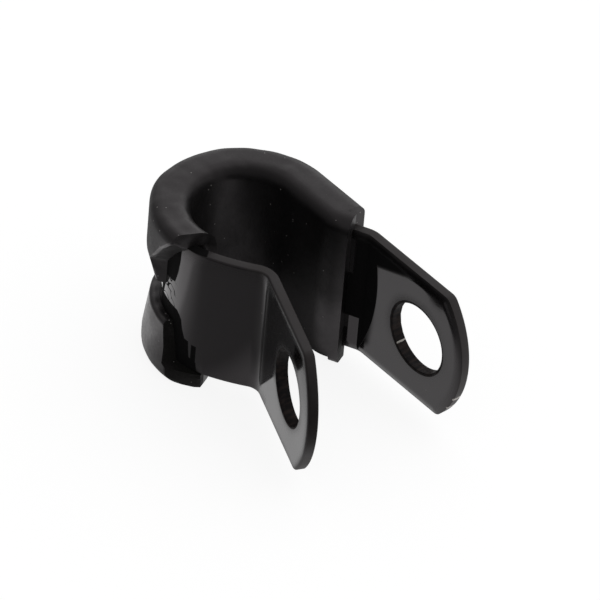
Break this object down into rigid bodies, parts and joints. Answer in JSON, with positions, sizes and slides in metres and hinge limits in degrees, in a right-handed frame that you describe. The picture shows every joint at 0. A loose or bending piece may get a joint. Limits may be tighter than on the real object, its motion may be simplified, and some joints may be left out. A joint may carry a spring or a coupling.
{
  "type": "brake hose clip",
  "caption": "Rubber-lined strap clip for a brake hose: a bent steel strap with a bolt hole in each splayed ear, and a rubber channel round its loop.",
  "frame": {"origin": "on the axis of the hose bore, at the middle of the strap's width", "axes": "+Z along the hose bore, up as pictured; +X along the flat ear, out of the loop's mouth; +Y is the outward normal of the flat ear's mounting face"},
  "size_m": [0.0286, 0.0162, 0.0155],
  "materials": {
    "black_paint": "gloss",
    "black_rubber": "satin"
  },
  "bodies": {
    "root": {"steel_strap": "black_paint", "rubber_sleeve": "black_rubber"}
  },
  "joints": []
}
